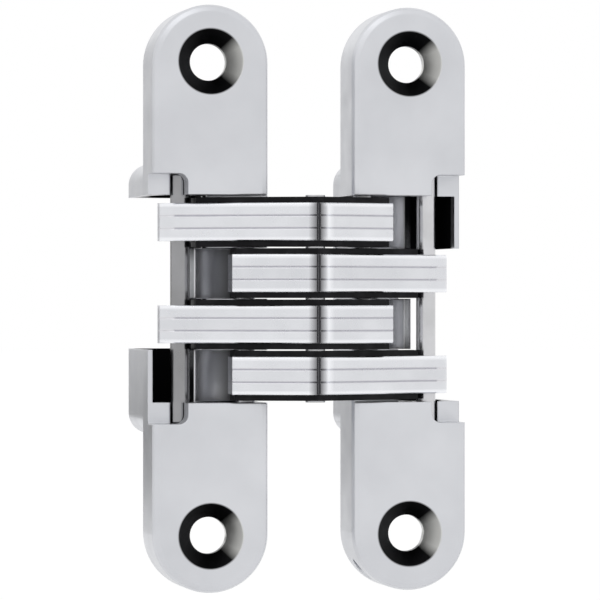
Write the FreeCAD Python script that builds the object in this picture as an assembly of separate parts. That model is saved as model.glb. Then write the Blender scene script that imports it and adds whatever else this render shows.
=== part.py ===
import FreeCAD, Part
import math
import os

# Concealed door hinge, shown fully open.
# Two die-cast leaves are let into the jamb and the door. Four interlaced fingers join them.
# Each finger is a stack of stamped plies between two dark wear plates. It turns on a pivot pin
# in its own leaf, crosses the other fingers on the centre pin, and slides on a pin in curved
# grooves of the other leaf.
# Z runs along the hinge, -Y is the face side and +Y goes into the wood.
# Plan sizes are laid out from the middle of the gap between the leaves, where X is 0.
# The finished pieces are moved so that the origin lies between the jamb leaf's two screw holes,
# level with the bottom of their countersinks.

Vector = FreeCAD.Vector

# Leaves
leaf_length = 95.25
leaf_width = 19.05
leaf_gap = 14.0
tab_thickness = 9.5
face_edge_round = 1.1
body_length = 45.0
body_depth = 25.5
shallow_depth = 15.0
body_draft = 0.3
body_end_radius = 3.5
rear_wall = 1.3

# Screw holes
screw_end_distance = 9.225
screw_hole_diameter = 6.0
countersink_diameter = 10.7
countersink_angle = 82.0
screw_land = 1.3
screw_relief_diameter = 8.6

# Fingers and their stack
ply_thickness = 2.05
plies_per_finger = 3
finger_count = 4
finger_gap = 2.15
end_room = 1.35
side_clearance = 0.12
ply_edge_break = 0.2

# Pins
pin_diameter = 3.2
pin_running_clearance = 0.04
pin_seat_clearance = 0.01
pivot_pin_hold = 3.0
slide_pin_hold = 3.2
slide_end_clearance = 0.2
slide_groove_clearance = 0.3

# Linkage, fully open
pivot_inset = 2.85
pivot_depth = 5.5
centre_proud = 3.2
slide_inset = 5.45
slide_depth = 5.8
pivot_turn = 108.0
opening_turn = 180.0

# Finger outline
ridge_rise = 3.0
rear_gap = 0.3
pivot_eye_radius = 2.8
slide_eye_radius = 2.6
slide_eye_reach = 1.1
heel_reach = 3.5
heel_proud = 1.6
ridge_groove_width = 0.9
ridge_groove_depth = 0.7

# Dark wear plates on both sides of each finger
wear_plate_thickness = 0.95
wear_plate_recess = 0.6
wear_plate_pin_margin = 0.5

# Pockets in the castings
pocket_clearance = 0.35
seat_clearance = 0.4
well_clearance = 0.35
well_wall = 0.8
well_floor = 1.2
web_depth = 8.6
notch_depth = 5.0
notch_reach = 5.8
notch_corner_radius = 1.5

# Worked out from the sizes above
inner_edge = leaf_gap / 2
outer_edge = inner_edge + leaf_width
leaf_centre = inner_edge + leaf_width / 2
screw_spacing = leaf_length - 2 * screw_end_distance
end_radius = leaf_width / 2
pin_radius = pin_diameter / 2
finger_thickness = ply_thickness * plies_per_finger
finger_pitch = finger_thickness + finger_gap
finger_levels = [finger_pitch * ((finger_count - 1) / 2 - i) for i in range(finger_count)]
stack_half = finger_levels[0] + finger_thickness / 2
cavity_half = stack_half + end_room
groove_end = cavity_half + slide_pin_hold + slide_end_clearance
pivot_x = inner_edge + pivot_inset
slide_x = outer_edge - slide_inset
arm = math.hypot(pivot_x, pivot_depth + centre_proud)
arm_angle = math.atan2(pivot_x, pivot_depth + centre_proud)
sink_width = (countersink_diameter - screw_hole_diameter) / 2
sink_depth = sink_width / math.tan(math.radians(countersink_angle / 2))
past_face = 2.0
overlap = 1.0

centre = Vector(0, -centre_proud, 0)
jamb_pivot = Vector(-pivot_x, pivot_depth, 0)
jamb_slide = Vector(-slide_x, slide_depth, 0)


def turned(vector, degrees):
    angle = math.radians(degrees)
    return Vector(
        vector.x * math.cos(angle) - vector.y * math.sin(angle),
        vector.x * math.sin(angle) + vector.y * math.cos(angle),
        0,
    )


def centre_at(share):
    """Centre pin in the jamb leaf's frame, share 0 open to 1 closed."""
    angle = arm_angle - math.radians(pivot_turn) * share
    return jamb_pivot + Vector(math.sin(angle), -math.cos(angle), 0) * arm


def slide_at(share):
    """Slide pin in the jamb leaf, carried by the door leaf's fingers."""
    return centre_at(share) + turned(jamb_slide - centre, (pivot_turn - opening_turn) * share)


# Side of the well, clear of the fingers' long ends when they are folded in
well_side = slide_at(1).x + slide_eye_radius + well_clearance


def prism(points, low, high):
    corners = [Vector(x, y, low) for x, y in points]
    wire = Part.makePolygon(corners + corners[:1])
    return Part.Face(wire).extrude(Vector(0, 0, high - low))


def rod(at, radius, low, high):
    return Part.makeCylinder(radius, high - low, Vector(at.x, at.y, low))


def block(x_low, x_high, y_low, y_high, z_low, z_high):
    corner = Vector(x_low, y_low, z_low)
    return Part.makeBox(x_high - x_low, y_high - y_low, z_high - z_low, corner)


def tangent_point(start, middle, radius, side):
    """Where a line from start touches a circle, on its left (1) or right (-1)."""
    across = middle - start
    swing = math.asin(radius / across.Length)
    along = turned(across, math.degrees(swing) * side)
    reach = math.sqrt(across.Length ** 2 - radius ** 2)
    return start + along.normalize() * reach


def half_turn(shape):
    """The door half is the jamb half turned about the Y axis."""
    copy = shape.copy()
    copy.rotate(Vector(0, 0, 0), Vector(0, 1, 0), 180)
    return copy


# Finger outline, laid out for the fingers that pivot in the jamb leaf
ridge = Vector(0, -centre_proud - ridge_rise, 0)
heel = Vector(-pivot_x - heel_reach, -heel_proud, 0)
far_slide = Vector(slide_x, slide_depth, 0)
waist = Vector(pivot_x - pivot_eye_radius, -rear_gap, 0)
far_tip = far_slide + (far_slide - waist).normalize() * slide_eye_reach
long_rear = tangent_point(waist, far_tip, slide_eye_radius, 1)
long_front = tangent_point(ridge, far_tip, slide_eye_radius, -1)


def finger_ply():
    """One stamped ply, flat on Z = 0, with broken edges and the groove along its ridge."""
    outline = [
        (ridge.x, ridge.y),
        (heel.x, heel.y),
        (jamb_pivot.x - pivot_eye_radius, jamb_pivot.y),
        (jamb_pivot.x + pivot_eye_radius, jamb_pivot.y),
        (-waist.x, waist.y),
        (waist.x, waist.y),
        (long_rear.x, long_rear.y),
        (long_front.x, long_front.y),
    ]
    ply = prism(outline, 0, ply_thickness)
    front_rims = [e for e in ply.Edges if e.BoundBox.ZLength < 1e-6 and e.BoundBox.YMin < heel.y - overlap]
    ply = ply.makeChamfer(ply_edge_break, front_rims)
    ply = ply.fuse(rod(jamb_pivot, pivot_eye_radius, 0, ply_thickness))
    ply = ply.fuse(rod(far_tip, slide_eye_radius, 0, ply_thickness)).removeSplitter()
    half = ridge_groove_width / 2
    groove = [
        (-half, ridge.y - past_face),
        (half, ridge.y - past_face),
        (half, ridge.y),
        (0, ridge.y + ridge_groove_depth),
        (-half, ridge.y),
    ]
    ply = ply.cut(prism(groove, -overlap, ply_thickness + overlap))
    hole = pin_radius + pin_running_clearance
    for place in (jamb_pivot, centre, far_slide):
        ply = ply.cut(rod(place, hole, -overlap, ply_thickness + overlap))
    return ply


def finger_plies(level):
    """The plies of the jamb finger at one level, from the top down."""
    stamped = finger_ply()
    plies = []
    for i in range(plies_per_finger):
        ply = stamped.copy()
        ply.translate(Vector(0, 0, level + finger_thickness / 2 - ply_thickness * (i + 1)))
        plies.append(ply)
    return plies


def at_x(start, end, x):
    """Y at x on the line through start and end."""
    return start.y + (end.y - start.y) * (x - start.x) / (end.x - start.x)


def wear_plate(low):
    """Dark plate beside a jamb finger, set back from its front and short of its end pins."""
    clear = pin_radius + wear_plate_pin_margin
    short_x = heel.x + wear_plate_recess
    long_x = far_slide.x - clear
    lug_y = jamb_pivot.y - clear
    outline = [
        (0, ridge.y + wear_plate_recess),
        (short_x, at_x(ridge, heel, short_x) + wear_plate_recess),
        (short_x, lug_y),
        (-waist.x, lug_y),
        (-waist.x, waist.y),
        (waist.x, waist.y),
        (long_x, at_x(waist, long_rear, long_x)),
        (long_x, at_x(ridge, long_front, long_x) + wear_plate_recess),
    ]
    plate = prism(outline, low, low + wear_plate_thickness)
    hole = pin_radius + pin_running_clearance
    return plate.cut(rod(centre, hole, low - overlap, low + wear_plate_thickness + overlap))


def stadium(inset, y):
    """Outline of the plate at depth y, drawn in from its full size by inset."""
    radius = end_radius - inset
    straight = leaf_length / 2 - end_radius
    left = -leaf_centre - radius
    right = -leaf_centre + radius
    a = Vector(left, y, -straight)
    b = Vector(left, y, straight)
    c = Vector(right, y, straight)
    d = Vector(right, y, -straight)
    top = Vector(-leaf_centre, y, straight + radius)
    bottom = Vector(-leaf_centre, y, -straight - radius)
    return Part.Wire([
        Part.LineSegment(a, b).toShape(),
        Part.Arc(b, top, c).toShape(),
        Part.LineSegment(c, d).toShape(),
        Part.Arc(d, bottom, a).toShape(),
    ])


def leaf_plate():
    """Round-ended plate whose face rim is rounded over in two short slopes."""
    middle = face_edge_round * (1 - math.sqrt(0.5))
    rim = [
        stadium(face_edge_round, 0),
        stadium(middle, middle),
        stadium(0, face_edge_round),
    ]
    crown = Part.makeLoft(rim, True, True)
    rest = Part.Face(rim[-1]).extrude(Vector(0, tab_thickness - face_edge_round, 0))
    return crown.fuse(rest)


def leaf_body():
    """Body behind the plate: deep around the slide pin's well, shallow behind the pivot pin."""
    front = tab_thickness / 2
    rear_corner = -outer_edge + body_draft
    plan = [
        (-outer_edge, front),
        (-inner_edge, front),
        (-inner_edge, shallow_depth),
        (jamb_pivot.x, shallow_depth),
        (well_side + rear_wall, body_depth),
        (rear_corner, body_depth),
    ]
    body = prism(plan, -body_length / 2, body_length / 2)
    ends = []
    for edge in body.Edges:
        box = edge.BoundBox
        if box.ZLength < 1e-6 and box.XLength < body_draft + 1e-6 and box.YLength > shallow_depth / 2:
            ends.append(edge)
    return body.makeFillet(body_end_radius, ends)


def screw_holes():
    cutters = []
    hole = screw_hole_diameter / 2
    rim = countersink_diameter / 2
    into = Vector(0, 1, 0)
    for side in (-1, 1):
        z = side * screw_spacing / 2
        at_face = Vector(-leaf_centre, 0, z)
        cutters.append(Part.makeCone(rim, hole, sink_depth, at_face, into))
        start = Vector(-leaf_centre, -past_face, z)
        cutters.append(Part.makeCylinder(rim, past_face, start, into))
        cutters.append(Part.makeCylinder(hole, tab_thickness + 2 * past_face, start, into))
        relief = Vector(-leaf_centre, sink_depth + screw_land, z)
        cutters.append(Part.makeCylinder(screw_relief_diameter / 2, tab_thickness, relief, into))
    return cutters


def slide_groove(low, high):
    """Curved slot along the slide pin's path, which is close to an arc."""
    half = pin_radius + slide_groove_clearance
    path = [slide_at(share) + Vector(0, 0, low) for share in (0, 0.5, 1)]
    middle = Part.Arc(path[0], path[1], path[2]).toShape().Curve.Center
    across = [(point - middle).normalize() * half for point in path]
    inner = [point - out for point, out in zip(path, across)]
    outer = [point + out for point, out in zip(path, across)]
    before = path[0] + turned(across[0], 90)
    after = path[2] - turned(across[2], 90)
    wire = Part.Wire([
        Part.Arc(outer[0], outer[1], outer[2]).toShape(),
        Part.Arc(outer[2], after, inner[2]).toShape(),
        Part.Arc(inner[2], inner[1], inner[0]).toShape(),
        Part.Arc(inner[0], before, outer[0]).toShape(),
    ])
    return Part.Face(wire).extrude(Vector(0, 0, high - low))


def pocket_cutters():
    """Everything that is taken out of the jamb leaf's body."""
    cutters = []
    front = -past_face
    inner = -inner_edge + past_face
    outer = -outer_edge - past_face
    heel_sweep = (heel - jamb_pivot).Length + pocket_clearance

    # Slots for the fingers that pivot here, open to the face and the inner side. Below the
    # folded fingers a web parts each slot from a lane, in which only the slide pin moves
    slot_half = finger_pitch / 2
    lane_side = jamb_slide.x + pin_radius + slide_groove_clearance
    walled = -outer_edge + well_wall
    for i in (1, 3):
        low = finger_levels[i] - slot_half
        high = finger_levels[i] + slot_half
        lane_outer = outer
        lane_depth = body_depth + past_face
        if i == finger_count - 1:
            low = -cavity_half
            lane_outer = walled
            lane_depth = body_depth - well_floor
            cutters.append(block(outer, walled + overlap, front, notch_depth, low, high))
        cutters.append(rod(jamb_pivot, heel_sweep, low, high))
        cutters.append(block(lane_side - overlap, inner, front, pivot_depth, low, high))
        cutters.append(block(lane_side - overlap, jamb_pivot.x, front, web_depth, low, high))
        cutters.append(block(lane_outer, lane_side, front, lane_depth, low, high))
        cutters.append(slide_groove(low, high))

    # Sloping seats for the fingers that only pass over this leaf
    rear_line = long_rear - waist
    slope = rear_line.y / rear_line.x
    seat_drop = seat_clearance * math.sqrt(1 + slope ** 2) - rear_gap
    for i in (0, 2):
        low = finger_levels[i] - slot_half
        high = finger_levels[i] + slot_half
        if i == 0:
            high = cavity_half
        seat_well = seat_drop + slope * (-well_side + overlap - waist.x)
        seat_inner = seat_drop + slope * (-inner - waist.x)
        seat = [
            (inner, front),
            (inner, seat_inner),
            (well_side - overlap, seat_well),
            (well_side - overlap, front),
        ]
        cutters.append(prism(seat, low, high))

        # Well for their long ends, open at the side and the back
        cutters.append(block(outer, well_side, front, body_depth + past_face, low, high))

    # Curved grooves in the end walls, and the corner notches that open them to the face
    for side in (-1, 1):
        low, high = sorted((side * (cavity_half - overlap), side * groove_end))
        cutters.append(slide_groove(low, high))
        notch = block(outer, -outer_edge + notch_reach, front, notch_depth, low, high)
        corner = [
            e for e in notch.Edges
            if e.BoundBox.XMin > -outer_edge + notch_reach - 1e-6
            and e.BoundBox.ZLength < 1e-6
            and abs(abs(e.BoundBox.ZMin) - groove_end) < 1e-6
        ]
        cutters.append(notch.makeFillet(notch_corner_radius, corner))

    # Bore for the pivot pin, drilled from the end of the plate beside the screw hole
    pin_end = cavity_half + pivot_pin_hold
    bore = pin_radius + pin_seat_clearance
    cutters.append(rod(jamb_pivot, bore, -pin_end, leaf_length / 2 + overlap))
    return cutters


def leaf_casting():
    blank = leaf_plate().fuse(leaf_body()).removeSplitter()
    return blank.cut(screw_holes() + pocket_cutters()).removeSplitter()


def collect():
    pieces = {}
    casting = leaf_casting()
    pieces["jamb_leaf"] = casting
    pieces["door_leaf"] = half_turn(casting)
    for finger, i in enumerate((1, 3), 1):
        for n, ply in enumerate(finger_plies(finger_levels[i]), 1):
            pieces["jamb_finger_%d_ply_%d" % (finger, n)] = ply
            pieces["door_finger_%d_ply_%d" % (finger, n)] = half_turn(ply)
        top = wear_plate(finger_levels[i] + finger_thickness / 2)
        bottom = wear_plate(finger_levels[i] - finger_thickness / 2 - wear_plate_thickness)
        pieces["jamb_finger_%d_top_wear_plate" % finger] = top
        pieces["jamb_finger_%d_bottom_wear_plate" % finger] = bottom
        pieces["door_finger_%d_top_wear_plate" % finger] = half_turn(bottom)
        pieces["door_finger_%d_bottom_wear_plate" % finger] = half_turn(top)

    pin_end = cavity_half + pivot_pin_hold
    pivot_pin = rod(jamb_pivot, pin_radius, -pin_end, pin_end)
    pieces["jamb_pivot_pin"] = pivot_pin
    pieces["door_pivot_pin"] = half_turn(pivot_pin)
    slide_end = cavity_half + slide_pin_hold
    slide_pin = rod(jamb_slide, pin_radius, -slide_end, slide_end)
    pieces["jamb_slide_pin"] = slide_pin
    pieces["door_slide_pin"] = half_turn(slide_pin)

    centre_end = cavity_half - side_clearance
    pieces["centre_pin"] = rod(centre, pin_radius, -centre_end, centre_end)
    return pieces


os.makedirs("parts", exist_ok=True)
for name, shape in collect().items():
    shape.translate(Vector(leaf_centre, -sink_depth, 0))
    shape.exportStep("parts/%s.step" % name)
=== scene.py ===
import math

import bpy
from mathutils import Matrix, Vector


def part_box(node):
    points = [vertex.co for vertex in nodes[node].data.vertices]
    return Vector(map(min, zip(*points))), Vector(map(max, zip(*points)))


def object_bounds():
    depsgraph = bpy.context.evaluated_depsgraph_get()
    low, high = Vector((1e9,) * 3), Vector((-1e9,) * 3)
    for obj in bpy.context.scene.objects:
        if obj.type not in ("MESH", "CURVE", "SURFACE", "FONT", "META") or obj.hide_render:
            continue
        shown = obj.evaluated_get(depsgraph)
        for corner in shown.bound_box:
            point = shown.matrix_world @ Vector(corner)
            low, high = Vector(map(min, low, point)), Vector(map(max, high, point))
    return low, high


# Concealed hinge, standing on its lower tips on a pale studio floor.
# Z runs up the hinge, -Y is the face side. Every size is in metres.

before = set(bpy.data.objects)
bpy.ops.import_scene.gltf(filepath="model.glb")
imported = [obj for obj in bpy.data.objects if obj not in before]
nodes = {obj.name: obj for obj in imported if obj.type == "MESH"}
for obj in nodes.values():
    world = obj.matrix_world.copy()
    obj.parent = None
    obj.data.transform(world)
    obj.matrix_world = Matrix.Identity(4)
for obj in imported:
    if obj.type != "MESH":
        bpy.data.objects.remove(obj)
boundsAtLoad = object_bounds()
print("frame loaded:", len(nodes), "nodes")


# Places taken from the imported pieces

leafLow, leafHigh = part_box("jamb_leaf")
doorLow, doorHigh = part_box("door_leaf")
upperLow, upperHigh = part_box("jamb_finger_1_ply_2")
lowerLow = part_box("jamb_finger_2_ply_2")[0]
wholeLow, wholeHigh = boundsAtLoad
gapMiddle = (leafHigh.x + doorLow.x) / 2
facePlane = leafLow.y
plyThickness = upperHigh.z - upperLow.z
stackThickness = 3 * plyThickness
fingerPitch = (upperLow.z - lowerLow.z) / 2
fingerMiddle = (upperLow.z + upperHigh.z) / 2


# Small helpers for building materials from nodes

def newMaterial(name):
    material = bpy.data.materials.new(name)
    material.use_nodes = True
    material.node_tree.nodes.clear()
    output = material.node_tree.nodes.new("ShaderNodeOutputMaterial")
    surface = material.node_tree.nodes.new("ShaderNodeBsdfPrincipled")
    material.node_tree.links.new(surface.outputs["BSDF"], output.inputs["Surface"])
    return material, surface


def addNode(material, kind, **settings):
    node = material.node_tree.nodes.new("ShaderNode" + kind)
    for key, value in settings.items():
        setattr(node, key, value)
    return node


def join(material, output, socket):
    material.node_tree.links.new(output, socket)


def objectPlace(material, stretch=(1, 1, 1)):
    # The piece's own coordinates, so the grain stays with it in every pose
    coordinates = addNode(material, "TexCoord")
    mapping = addNode(material, "Mapping")
    mapping.inputs["Scale"].default_value = stretch
    join(material, coordinates.outputs["Object"], mapping.inputs["Vector"])
    return mapping.outputs["Vector"]


def noise(material, place, scale, detail=3.0, roughness=0.5):
    texture = addNode(material, "TexNoise")
    texture.inputs["Scale"].default_value = scale
    texture.inputs["Detail"].default_value = detail
    texture.inputs["Roughness"].default_value = roughness
    join(material, place, texture.inputs["Vector"])
    return texture.outputs["Fac"]


def spread(material, value, low, high, fromLow=0.3, fromHigh=0.7):
    ranged = addNode(material, "MapRange")
    ranged.inputs["From Min"].default_value = fromLow
    ranged.inputs["From Max"].default_value = fromHigh
    ranged.inputs["To Min"].default_value = low
    ranged.inputs["To Max"].default_value = high
    join(material, value, ranged.inputs["Value"])
    return ranged.outputs["Result"]


def fade(material, value, ends):
    # 1 below the first end, 0 past the second
    return spread(material, value, 1, 0, *ends)


def calculate(material, operation, first, second=None, third=None):
    step = addNode(material, "Math", operation=operation)
    for socket, value in zip(step.inputs, (first, second, third)):
        if value is None:
            continue
        if isinstance(value, (int, float)):
            socket.default_value = value
        else:
            join(material, value, socket)
    return step.outputs["Value"]


def multiply(material, *factors):
    product = factors[0]
    for factor in factors[1:]:
        product = calculate(material, "MULTIPLY", product, factor)
    return product


def distanceFrom(material, value, centre):
    return calculate(material, "ABSOLUTE", calculate(material, "SUBTRACT", value, centre))


def radiusOf(material, first, second):
    # How far a point lies from an axis, from its two distances across the axis
    squares = [calculate(material, "POWER", side, 2.0) for side in (first, second)]
    return calculate(material, "SQRT", calculate(material, "ADD", *squares))


def blendColours(material, factor, first, second):
    mix = addNode(material, "Mix", data_type="RGBA")
    join(material, factor, mix.inputs["Factor"])
    for socket, value in ((mix.inputs[6], first), (mix.inputs[7], second)):
        if isinstance(value, tuple):
            socket.default_value = (*value, 1)
        else:
            join(material, value, socket)
    return mix.outputs[2]


def addBump(material, surface, height, strength, distance, below=None):
    bump = addNode(material, "Bump")
    bump.inputs["Strength"].default_value = strength
    bump.inputs["Distance"].default_value = distance
    join(material, height, bump.inputs["Height"])
    if below is not None:
        join(material, below, bump.inputs["Normal"])
    join(material, bump.outputs["Normal"], surface.inputs["Normal"])
    return bump.outputs["Normal"]


def roundedEdge(material, radius):
    bevel = addNode(material, "Bevel", samples=6)
    bevel.inputs["Radius"].default_value = radius
    return bevel.outputs["Normal"]


def paint(names, material):
    for name in names:
        for index in range(len(nodes[name].data.materials)):
            nodes[name].data.materials[index] = material


# Die-cast leaves, satin chrome plated

leafFinish = dict(
    colour=(0.69, 0.70, 0.73),
    cloudColour=(0.62, 0.63, 0.66),
    cloudScale=75,
    cloudDetail=4,
    roughness=(0.28, 0.38),
    grainScale=5200,
    grainDepth=0.000008,
    strokeScale=(2600, 2600, 60),
    strokeDepth=0.000006,
    bumpStrength=0.35,
    sheen=0.5,
    edgeRound=0.00035,
)

# Where shade is painted into the recesses. Depths are from the face, the rest from the hinge's middle
recessShade = dict(
    colour=(0.008, 0.008, 0.009),
    reach=0.012,
    samples=16,
    faceRange=(0.10, 0.35),
    deepRange=(0.84, 0.98),
    deepFrom=(0.0056, 0.0075),
    cavityEnds=(0.0203, 0.0206),
    cavityInner=(0.0072, 0.0074),
    cavityOuter=(0.0253, 0.0255),
    cavityShallow=(0.0143, 0.0146),
    cavityDeepFrom=(0.0149, 0.0151),
    cavityDeepTo=(0.0252, 0.0254),
)

# Painted highlight on the pocket floors, bright towards one end and faded out along X
pocketHighlight = dict(
    colour=(0.86, 0.86, 0.88),
    radius=0.00827,
    edge=(0.00015, 0.00030),
    jambEnd=(0.0030, 0.0066),
    doorEnd=(0.0339, 0.0343),
)

# Painted reflection in the countersink cones: near black, with a painted highlight wedge on their right
# side
paintedCountersink = dict(
    colour=(0.010, 0.010, 0.011),
    wedgeHighlightColour=(0.66, 0.66, 0.64),
    wedge=(0.66, 0.90),
    holeHeight=0.0384,
    rim=(0.0052, 0.0055),
    depth=(0.0039, 0.0041),
)


def cavityMask(material, depth, fromGap, height):
    # The cavity inside the body, where the fingers and the pins move
    shallowPart = fade(material, depth, recessShade["cavityShallow"])
    beyondShallow = spread(material, fromGap, 0, 1, *recessShade["cavityDeepFrom"])
    deepPart = multiply(material, fade(material, depth, recessShade["cavityDeepTo"]), beyondShallow)
    return multiply(
        material,
        calculate(material, "MAXIMUM", shallowPart, deepPart),
        spread(material, fromGap, 0, 1, *recessShade["cavityInner"]),
        fade(material, fromGap, recessShade["cavityOuter"]),
        fade(material, height, recessShade["cavityEnds"]),
    )


def opennessOf(material, depth, deep, cavity):
    # 1 on the open faces, 0 far inside the cavity, where the painted shade goes
    shade = addNode(material, "AmbientOcclusion", samples=recessShade["samples"], only_local=True)
    shade.inputs["Distance"].default_value = recessShade["reach"]
    onFace = spread(material, shade.outputs["AO"], 0, 1, *recessShade["faceRange"])
    below = spread(material, shade.outputs["AO"], 0, 1, *recessShade["deepRange"])
    difference = calculate(material, "SUBTRACT", below, onFace)
    openness = calculate(material, "MULTIPLY_ADD", difference, deep, onFace)
    return calculate(material, "MAXIMUM", openness, calculate(material, "SUBTRACT", 1.0, cavity))


def pocketHighlightPlace(material, x, y, pivot, end):
    # Pocket floors are round about the pivot pin; this places their painted highlight, faded out along X
    aside = calculate(material, "SUBTRACT", x, pivot.x)
    beyond = calculate(material, "SUBTRACT", y, pivot.y)
    offFloor = distanceFrom(material, radiusOf(material, aside, beyond), pocketHighlight["radius"])
    return multiply(material, fade(material, offFloor, pocketHighlight["edge"]), fade(material, x, end))


def sinkLook(material, x, height, depth, middle):
    # Turned countersinks, found by their distance from each hole's axis, coloured as a painted dark
    # reflection with a painted highlight wedge at the right
    across = calculate(material, "SUBTRACT", x, middle)
    along = calculate(material, "SUBTRACT", height, paintedCountersink["holeHeight"])
    reach = radiusOf(material, across, along)
    inSink = multiply(
        material,
        fade(material, reach, paintedCountersink["rim"]),
        fade(material, depth, paintedCountersink["depth"]),
    )
    toRight = calculate(material, "DIVIDE", across, reach)
    wedge = spread(material, toRight, 0, 1, *paintedCountersink["wedge"])
    return inSink, blendColours(material, wedge, paintedCountersink["colour"], paintedCountersink["wedgeHighlightColour"])


def leafMaterial(name, middle, pivot, pocketEnd):
    look = leafFinish
    material, surface = newMaterial(name)
    place = objectPlace(material)
    apart = addNode(material, "SeparateXYZ")
    join(material, place, apart.inputs["Vector"])
    x, y = apart.outputs["X"], apart.outputs["Y"]
    height = calculate(material, "ABSOLUTE", apart.outputs["Z"])
    depth = calculate(material, "SUBTRACT", y, facePlane)
    deep = spread(material, depth, 0, 1, *recessShade["deepFrom"])
    cavity = cavityMask(material, depth, distanceFrom(material, x, gapMiddle), height)
    openness = opennessOf(material, depth, deep, cavity)
    pocketHighlightMask = multiply(material, pocketHighlightPlace(material, x, y, pivot, pocketEnd), deep, cavity)
    inSink, sinkReflectionColour = sinkLook(material, x, height, depth, middle)

    # Painted shade: recesses below the face are coloured near black and made not metallic.
    # Painted highlight: pocket floors are coloured bright.
    clouds = spread(material, noise(material, place, look["cloudScale"], look["cloudDetail"]), 0, 1)
    colour = blendColours(material, clouds, look["colour"], look["cloudColour"])
    colour = blendColours(material, openness, recessShade["colour"], colour)
    colour = blendColours(material, pocketHighlightMask, colour, pocketHighlight["colour"])
    colour = blendColours(material, inSink, colour, sinkReflectionColour)
    join(material, colour, surface.inputs["Base Color"])
    # Metallic follows the painted shade mask: low in the painted recesses, full on open faces and pocket
    # floors
    plated = calculate(material, "MAXIMUM", openness, pocketHighlightMask)
    join(material, plated, surface.inputs["Metallic"])
    sheen = calculate(material, "MULTIPLY", plated, look["sheen"])
    join(material, sheen, surface.inputs["Specular IOR Level"])

    rough = spread(material, noise(material, place, look["cloudScale"] * 3), *look["roughness"])
    join(material, rough, surface.inputs["Roughness"])
    grain = noise(material, place, look["grainScale"], 2)
    strokes = noise(material, objectPlace(material, look["strokeScale"]), 1.0, 2)
    edges = roundedEdge(material, look["edgeRound"])
    fine = addBump(material, surface, grain, look["bumpStrength"], look["grainDepth"], edges)
    addBump(material, surface, strokes, look["bumpStrength"], look["strokeDepth"], fine)
    return material


for leaf, pin, finish, pocketEnd in (
    ("jamb_leaf", "jamb_pivot_pin", "satinChromeJambLeaf", pocketHighlight["jambEnd"]),
    ("door_leaf", "door_pivot_pin", "satinChromeDoorLeaf", pocketHighlight["doorEnd"]),
):
    corners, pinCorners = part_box(leaf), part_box(pin)
    middle = (corners[0].x + corners[1].x) / 2
    pivot = (pinCorners[0] + pinCorners[1]) / 2
    paint([leaf], leafMaterial(finish, middle, pivot, pocketEnd))
print("leaves finished")


# Stamped plies of the fingers, plated and polished on their front edges

plyFinish = dict(
    colour=(0.78, 0.79, 0.82),
    cloudColour=(0.70, 0.71, 0.74),
    seamShadeColour=(0.72, 0.72, 0.75),
    seamReach=(0.000135, 0.000405),
    highlightColour=(0.90, 0.91, 0.94),
    rimReach=(0.00035, 0.00075),
    ridgeShadeColour=(0.22, 0.22, 0.23),
    ridgeReach=(0.0004, 0.0016),
    ridgeHighlight=(0.0012, 0.0018, 0.0028),
    roughness=(0.20, 0.30),
    cloudScale=110,
    cloudDetail=4,
    shearScale=(90, 90, 5200),
    shearDepth=0.000007,
    grainScale=4200,
    grainDepth=0.000004,
    bumpStrength=0.3,
    edgeRound=0.00018,
    recessColour=(0.02, 0.02, 0.022),
    recessReach=0.003,
    recessRange=(0.25, 0.75),
)


def plyMaterial(name, tint):
    look = plyFinish
    material, surface = newMaterial(name)
    place = objectPlace(material)
    clouds = spread(material, noise(material, place, look["cloudScale"], look["cloudDetail"]), 0, 1)
    pale = tuple(channel * tint for channel in look["colour"])
    dull = tuple(channel * tint for channel in look["cloudColour"])
    colour = blendColours(material, clouds, pale, dull)
    # Painted shade: faces close to other parts are coloured near black by ambient occlusion
    shade = addNode(material, "AmbientOcclusion", samples=8)
    shade.inputs["Distance"].default_value = look["recessReach"]
    openness = spread(material, shade.outputs["AO"], 0, 1, *look["recessRange"])
    colour = blendColours(material, openness, look["recessColour"], colour)

    # Each stack gets a painted highlight on its outer rims, and painted shade along the seam on both
    # sides of its middle ply
    apart = addNode(material, "SeparateXYZ")
    join(material, place, apart.inputs["Vector"])
    overLowest = calculate(material, "SUBTRACT", apart.outputs["Z"], fingerMiddle - fingerPitch / 2)
    inPitch = calculate(material, "WRAP", overLowest, fingerPitch, 0.0)
    fromMiddle = distanceFrom(material, inPitch, fingerPitch / 2)
    fromSeam = distanceFrom(material, fromMiddle, plyThickness / 2)
    seam = fade(material, fromSeam, look["seamReach"])
    fromRim = calculate(material, "SUBTRACT", stackThickness / 2, fromMiddle)
    rim = multiply(material, fade(material, fromRim, look["rimReach"]), openness)
    colour = blendColours(material, rim, colour, look["highlightColour"])
    colour = blendColours(material, seam, colour, look["seamShadeColour"])

    # Painted shade darkens the ridge over the centre pin, with a painted highlight line beside it
    fromRidge = calculate(material, "SUBTRACT", apart.outputs["X"], gapMiddle)
    risen, brightest, faded = look["ridgeHighlight"]
    rising = spread(material, fromRidge, 0, 1, risen, brightest)
    falling = fade(material, fromRidge, (brightest, faded))
    bright = multiply(material, calculate(material, "MINIMUM", rising, falling), openness)
    colour = blendColours(material, bright, colour, look["highlightColour"])
    ridge = fade(material, calculate(material, "ABSOLUTE", fromRidge), look["ridgeReach"])
    colour = blendColours(material, ridge, colour, look["ridgeShadeColour"])
    join(material, colour, surface.inputs["Base Color"])
    surface.inputs["Metallic"].default_value = 1.0
    rough = spread(material, noise(material, place, look["cloudScale"] * 2), *look["roughness"])
    join(material, rough, surface.inputs["Roughness"])
    shear = noise(material, objectPlace(material, look["shearScale"]), 1.0, 3)
    grain = noise(material, place, look["grainScale"], 2)
    edges = roundedEdge(material, look["edgeRound"])
    fine = addBump(material, surface, grain, look["bumpStrength"], look["grainDepth"], edges)
    addBump(material, surface, shear, look["bumpStrength"], look["shearDepth"], fine)
    return material


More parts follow.
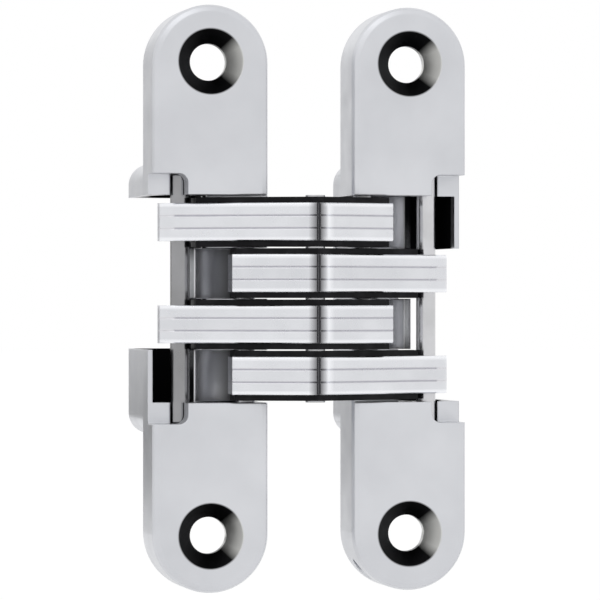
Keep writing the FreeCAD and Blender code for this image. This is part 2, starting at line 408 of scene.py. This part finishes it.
plyTints = {"1": 1.0, "2": 0.96, "3": 0.99}
for number, tint in plyTints.items():
    material = plyMaterial("platedPly" + number, tint)
    paint([name for name in nodes if name.endswith("_ply_" + number)], material)
print("fingers finished")


# Ground steel pins

pinFinish = dict(
    colour=(0.66, 0.66, 0.68),
    wornColour=(0.56, 0.56, 0.57),
    roughness=(0.16, 0.28),
    wearScale=160,
    wearDetail=4,
    ringScale=(60, 60, 4200),
    ringDepth=0.000005,
    bumpStrength=0.3,
    edgeRound=0.0002,
)


def pinMaterial(name, tint):
    look = pinFinish
    material, surface = newMaterial(name)
    place = objectPlace(material)
    wear = spread(material, noise(material, place, look["wearScale"], look["wearDetail"]), 0, 1)
    bright = tuple(channel * tint for channel in look["colour"])
    worn = tuple(channel * tint for channel in look["wornColour"])
    join(material, blendColours(material, wear, bright, worn), surface.inputs["Base Color"])
    surface.inputs["Metallic"].default_value = 1.0
    rough = spread(material, noise(material, place, look["wearScale"] * 2), *look["roughness"])
    join(material, rough, surface.inputs["Roughness"])
    rings = noise(material, objectPlace(material, look["ringScale"]), 1.0, 2)
    edges = roundedEdge(material, look["edgeRound"])
    addBump(material, surface, rings, look["bumpStrength"], look["ringDepth"], edges)
    return material


# Tints are painted light and shade: the jamb slide pin is darkest as if in shade, the door slide pin
# brightest as if lit
pinLightAndShade = {"jamb_slide_pin": 0.5, "door_slide_pin": 1.0, "centre_pin": 0.8, "_pivot_pin": 0.7}
for ending, tint in pinLightAndShade.items():
    names = [name for name in nodes if name.endswith(ending)]
    paint(names, pinMaterial("groundSteel" + ending, tint))
print("pins finished")


# Blackened wear plates on both sides of each finger

wearPlateFinish = dict(
    colour=(0.006, 0.006, 0.007),
    rubbedColour=(0.018, 0.018, 0.020),
    metallic=0.3,
    sheen=0.15,
    roughness=(0.42, 0.58),
    rubScale=420,
    rubDetail=5,
    rubRange=(0.45, 0.75),
    grainScale=3600,
    grainDepth=0.000010,
    bumpStrength=0.4,
    edgeRound=0.0001,
)


def wearPlateMaterial(name):
    look = wearPlateFinish
    material, surface = newMaterial(name)
    place = objectPlace(material)
    rubs = noise(material, place, look["rubScale"], look["rubDetail"])
    rubbed = spread(material, rubs, 0, 1, *look["rubRange"])
    colour = blendColours(material, rubbed, look["colour"], look["rubbedColour"])
    join(material, colour, surface.inputs["Base Color"])
    rough = spread(material, noise(material, place, look["rubScale"]), *look["roughness"])
    join(material, rough, surface.inputs["Roughness"])
    surface.inputs["Metallic"].default_value = look["metallic"]
    surface.inputs["Specular IOR Level"].default_value = look["sheen"]
    grain = noise(material, place, look["grainScale"], 3)
    edges = roundedEdge(material, look["edgeRound"])
    addBump(material, surface, grain, look["bumpStrength"], look["grainDepth"], edges)
    return material


paint([name for name in nodes if name.endswith("_wear_plate")], wearPlateMaterial("blackenedWearPlate"))
print("wear plates finished")


# Floor, backdrop light and lamps

studio = dict(
    floorSize=6.0,
    floorColour=(0.90, 0.90, 0.90),
    shownShare=0.96,
    shownGlow=1.03,
    ambient=0.5,
    lampReach=0.8,
    cardSides=(-0.36, -0.068),
    cardDepth=0.28,
    cardHeights=(-0.16, -0.018, 0.12),
    lowerCardColour=(0.02, 0.02, 0.02),
    upperCardColour=(0.95, 0.95, 0.95),
)


def shownRays(tree):
    # 1 for what the camera sees and what metal reflects of the background
    path = tree.nodes.new("ShaderNodeLightPath")
    most = path.outputs["Is Camera Ray"]
    for ray in ("Is Glossy Ray", "Is Transmission Ray"):
        larger = tree.nodes.new("ShaderNodeMath")
        larger.operation = "MAXIMUM"
        tree.links.new(most, larger.inputs[0])
        tree.links.new(path.outputs[ray], larger.inputs[1])
        most = larger.outputs["Value"]
    return most


def makeFloor():
    half = studio["floorSize"] / 2
    mesh = bpy.data.meshes.new("studioFloor")
    z = wholeLow.z
    corners = [(-half, -half, z), (half, -half, z), (half, half, z), (-half, half, z)]
    mesh.from_pydata(corners, [], [(0, 1, 2, 3)])
    floor = bpy.data.objects.new("studioFloor", mesh)
    bpy.context.scene.collection.objects.link(floor)
    material = bpy.data.materials.new("paleFloor")
    material.use_nodes = True
    tree = material.node_tree
    tree.nodes.clear()
    output = tree.nodes.new("ShaderNodeOutputMaterial")
    plain = tree.nodes.new("ShaderNodeBsdfDiffuse")
    plain.inputs["Color"].default_value = (*studio["floorColour"], 1)
    glow = tree.nodes.new("ShaderNodeEmission")
    glow.inputs["Color"].default_value = (1, 1, 1, 1)
    glow.inputs["Strength"].default_value = studio["shownGlow"]
    mix = tree.nodes.new("ShaderNodeMixShader")
    share = tree.nodes.new("ShaderNodeMath")
    share.operation = "MULTIPLY"
    share.inputs[1].default_value = studio["shownShare"]
    tree.links.new(shownRays(tree), share.inputs[0])
    tree.links.new(share.outputs["Value"], mix.inputs["Fac"])
    tree.links.new(plain.outputs["BSDF"], mix.inputs[1])
    tree.links.new(glow.outputs["Emission"], mix.inputs[2])
    tree.links.new(mix.outputs["Shader"], output.inputs["Surface"])
    mesh.materials.append(material)
    return floor


def makeWorld():
    world = bpy.data.worlds.new("studioWorld")
    bpy.context.scene.world = world
    world.use_nodes = True
    tree = world.node_tree
    tree.nodes.clear()
    output = tree.nodes.new("ShaderNodeOutputWorld")
    background = tree.nodes.new("ShaderNodeBackground")
    background.inputs["Color"].default_value = (1, 1, 1, 1)
    strength = tree.nodes.new("ShaderNodeMapRange")
    strength.inputs["To Min"].default_value = studio["ambient"]
    strength.inputs["To Max"].default_value = 1.0
    tree.links.new(shownRays(tree), strength.inputs["Value"])
    tree.links.new(strength.outputs["Result"], background.inputs["Strength"])
    tree.links.new(background.outputs["Background"], output.inputs["Surface"])


def makePanel(name, azimuth, elevation, size, brightness, mirrored):
    # A soft panel of even brightness. Azimuth 0 is in front of the face, 90 to its right
    lamp = bpy.data.lights.new(name, "AREA")
    lamp.shape = "RECTANGLE"
    lamp.size, lamp.size_y = size
    lamp.energy = brightness * math.pi * size[0] * size[1]
    thing = bpy.data.objects.new(name, lamp)
    turn, rise = math.radians(azimuth), math.radians(elevation)
    back = Vector((math.sin(turn) * math.cos(rise), -math.cos(turn) * math.cos(rise), math.sin(rise)))
    thing.location = (wholeLow + wholeHigh) / 2 + back * studio["lampReach"]
    thing.rotation_mode = "QUATERNION"
    thing.rotation_quaternion = back.to_track_quat("Z", "Y")
    thing.visible_camera = False
    thing.visible_glossy = mirrored
    bpy.context.scene.collection.objects.link(thing)
    return thing


def makeCard(name, low, high, colour):
    # A card behind the hinge's left side, out of the camera's view, for the side walls to reflect
    left, right = studio["cardSides"]
    depth = studio["cardDepth"]
    middle = Vector((gapMiddle, facePlane, 0))
    corners = [(left, depth, low), (right, depth, low), (right, depth, high), (left, depth, high)]
    mesh = bpy.data.meshes.new(name)
    mesh.from_pydata([middle + Vector(corner) for corner in corners], [], [(0, 1, 2, 3)])
    card = bpy.data.objects.new(name, mesh)
    card.visible_camera = False
    bpy.context.scene.collection.objects.link(card)
    material, surface = newMaterial(name + "Paper")
    surface.inputs["Base Color"].default_value = (*colour, 1)
    surface.inputs["Roughness"].default_value = 0.9
    mesh.materials.append(material)
    return card


floor = makeFloor()
makeWorld()
makePanel("keyPanel", -35, 50, (0.7, 0.5), 0.45, True)
makePanel("fillPanel", 28, 8, (0.5, 0.5), 3.4, False)
low, middle, high = studio["cardHeights"]
lowerCard = makeCard("lowerCard", low, middle, studio["lowerCardColour"])
upperCard = makeCard("upperCard", middle, high, studio["upperCardColour"])
print("studio finished")


# Camera at the photograph's angle: a long lens, level with the hinge and a little to its left

camera = dict(
    azimuth=-12.0,
    distance=0.65,
    lens=240.0,
    sensor=36.0,
    sideAim=-0.0018,
    heightAim=-0.0002,
)


def makeCamera():
    data = bpy.data.cameras.new("photoCamera")
    data.sensor_width = camera["sensor"]
    data.lens = camera["lens"]
    data.clip_start = 0.01
    data.clip_end = 20.0
    thing = bpy.data.objects.new("photoCamera", data)
    turn = math.radians(camera["azimuth"])
    back = Vector((math.sin(turn), -math.cos(turn), 0))
    side = Vector((math.cos(turn), math.sin(turn), 0))
    aim = Vector((gapMiddle, facePlane, 0)) + side * camera["sideAim"]
    aim.z = (wholeLow.z + wholeHigh.z) / 2 + camera["heightAim"]
    thing.location = aim + back * camera["distance"]
    thing.rotation_mode = "QUATERNION"
    thing.rotation_quaternion = back.to_track_quat("Z", "Y")
    bpy.context.scene.collection.objects.link(thing)
    bpy.context.scene.camera = thing


makeCamera()
bpy.context.scene.view_settings.view_transform = "Standard"
print("camera placed")
